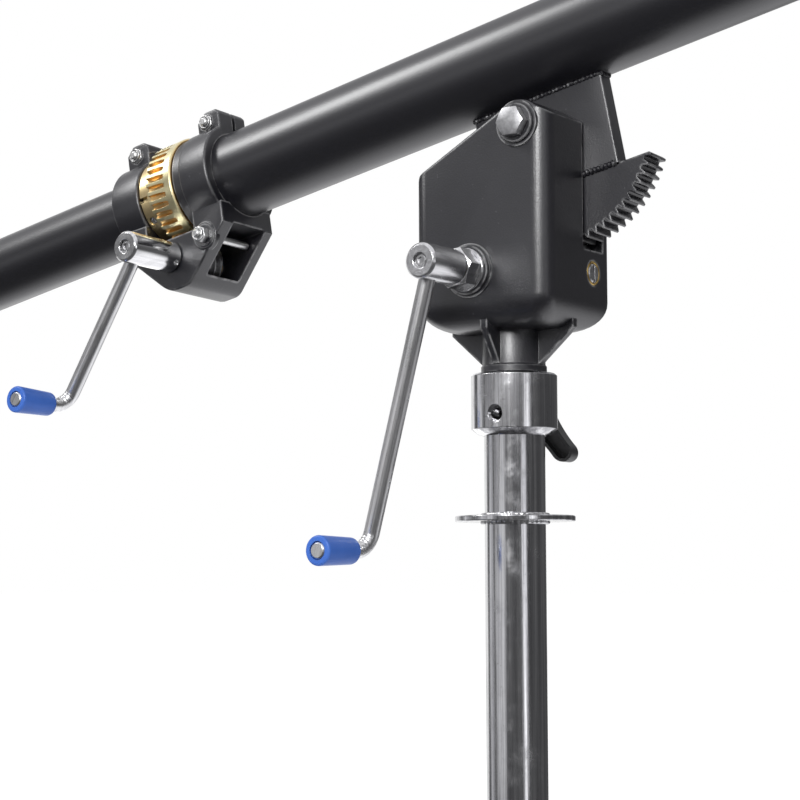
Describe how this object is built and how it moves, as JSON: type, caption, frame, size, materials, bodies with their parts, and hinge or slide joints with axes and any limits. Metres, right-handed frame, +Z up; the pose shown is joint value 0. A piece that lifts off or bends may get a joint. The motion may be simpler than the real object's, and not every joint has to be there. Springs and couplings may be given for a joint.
{
  "type": "overhead boom arm",
  "caption": "Overhead boom arm for lights: a cranked, geared tilt head on a steel column carries a boom whose front tube turns through a second cranked worm drive.",
  "frame": {"origin": "middle of the column's lower end", "axes": "+Z up along the column, +X level along the boom towards its rear end, -Y towards the cranks"},
  "size_m": [1.5769, 0.1867, 0.6914],
  "materials": {
    "satin_black_metal": "satin black powder coat",
    "chrome": "bright chrome plate with fine draw lines",
    "polished_steel": "polished steel with fine turning marks",
    "zinc_steel": "zinc plated",
    "brass": "machined brass, bright with darker gashes",
    "blue_plastic": "moulded blue plastic, soft sheen",
    "black_plastic": "moulded black plastic",
    "nylon": "turned nylon"
  },
  "bodies": {
    "column": {"column_tube": "chrome", "column_flange": "chrome", "receiver_collar": "chrome"},
    "lever": {"clamp_lever": "black_plastic", "lever_stud": "zinc_steel"},
    "head": {"head_housing": "satin_black_metal", "head_spigot": "polished_steel", "rear_cover": "satin_black_metal", "cover_screw_1": "zinc_steel", "cover_screw_2": "zinc_steel", "cover_screw_3": "zinc_steel", "cover_screw_4": "zinc_steel", "pivot_bolt": "zinc_steel", "pivot_washer": "zinc_steel", "pivot_nut_washer": "zinc_steel", "pivot_nut": "zinc_steel", "worm_bush_left": "brass", "worm_bush_right": "brass", "crank_bush": "brass", "crank_nut": "chrome", "crank_nut_washer": "chrome"},
    "tilt_drive": {"tilt_worm": "polished_steel", "mitre_gear_worm": "polished_steel"},
    "tilt_crank": {"crank_shaft": "polished_steel", "mitre_gear_crank": "polished_steel", "tilt_crank_hub": "polished_steel", "tilt_crank_screw": "polished_steel", "tilt_crank_arm": "polished_steel"},
    "tilt_grip": {"tilt_crank_grip": "blue_plastic"},
    "boom": {"main_tube": "satin_black_metal", "tube_bush_front": "nylon", "tube_bush_rear": "nylon", "pivot_plate": "satin_black_metal", "pivot_bush": "brass", "sector_gear": "satin_black_metal", "gear_bracket": "satin_black_metal", "clamp_bolt_left": "zinc_steel", "clamp_bolt_right": "zinc_steel", "clamp_nut_left": "zinc_steel", "clamp_nut_right": "zinc_steel", "lock_nut": "zinc_steel", "lock_screw": "zinc_steel", "turning_bush_front": "brass", "turning_bush_back": "brass", "rear_plug": "black_plastic", "weight_ring": "polished_steel"},
    "turning_tube": {"front_tube": "satin_black_metal", "worm_wheel": "brass", "wheel_set_screw": "polished_steel", "lamp_socket": "polished_steel"},
    "socket_screw": {"lamp_screw": "chrome"},
    "turn_drive": {"turning_worm": "polished_steel", "turn_crank_hub": "chrome", "turn_crank_screw": "polished_steel", "turn_crank_arm": "polished_steel"},
    "turn_grip": {"turn_crank_grip": "blue_plastic"}
  },
  "joints": [
    {"name": "head_swivel", "type": "hinge", "parent": "column", "child": "head", "pos_m": [0, 0, 0.3], "axis": [0, 0, 1], "continuous": true},
    {"name": "lever_turn", "type": "hinge", "parent": "column", "child": "lever", "pos_m": [0, 0, 0.3125], "axis": [-0.0976, 0.9952, 0], "continuous": true},
    {"name": "boom_tilt", "type": "hinge", "parent": "head", "child": "boom", "pos_m": [0.029, 0, 0.4873], "axis": [0, -1, 0], "range_deg": [-61.5, 25.5]},
    {"name": "tilt_worm_spin", "type": "hinge", "parent": "head", "child": "tilt_drive", "pos_m": [0.029, 0.015, 0.39985], "axis": [-1, 0, 0], "continuous": true},
    {"name": "tilt_crank_spin", "type": "hinge", "parent": "head", "child": "tilt_crank", "pos_m": [-0.0063, -0.06, 0.39985], "axis": [0, -1, 0], "continuous": true},
    {"name": "tilt_grip_spin", "type": "hinge", "parent": "tilt_crank", "child": "tilt_grip", "pos_m": [-0.0538, -0.11, 0.22799], "axis": [0, -1, 0], "continuous": true},
    {"name": "tube_turn", "type": "hinge", "parent": "boom", "child": "turning_tube", "pos_m": [-0.29394, 0.01, 0.48108], "axis": [0.9798, 0, 0.2001], "continuous": true},
    {"name": "turn_worm_spin", "type": "hinge", "parent": "boom", "child": "turn_drive", "pos_m": [-0.26954, 0.0076, 0.43407], "axis": [-0.0094, -0.9989, 0.0462], "continuous": true},
    {"name": "turn_grip_spin", "type": "hinge", "parent": "turn_drive", "child": "turn_grip", "pos_m": [-0.33307, -0.09657, 0.33324], "axis": [-0.0094, -0.9989, 0.0462], "continuous": true},
    {"name": "socket_screw_turn", "type": "hinge", "parent": "turning_tube", "child": "socket_screw", "pos_m": [-0.96215, 0.01, 0.34465], "axis": [-0.9798, 0, -0.2001], "continuous": true}
  ],
  "couplings": [
    {"joint": "tilt_worm_spin", "follows": "boom_tilt", "ratio": 72},
    {"joint": "tilt_crank_spin", "follows": "boom_tilt", "ratio": 72},
    {"joint": "turn_worm_spin", "follows": "tube_turn", "ratio": 37}
  ]
}
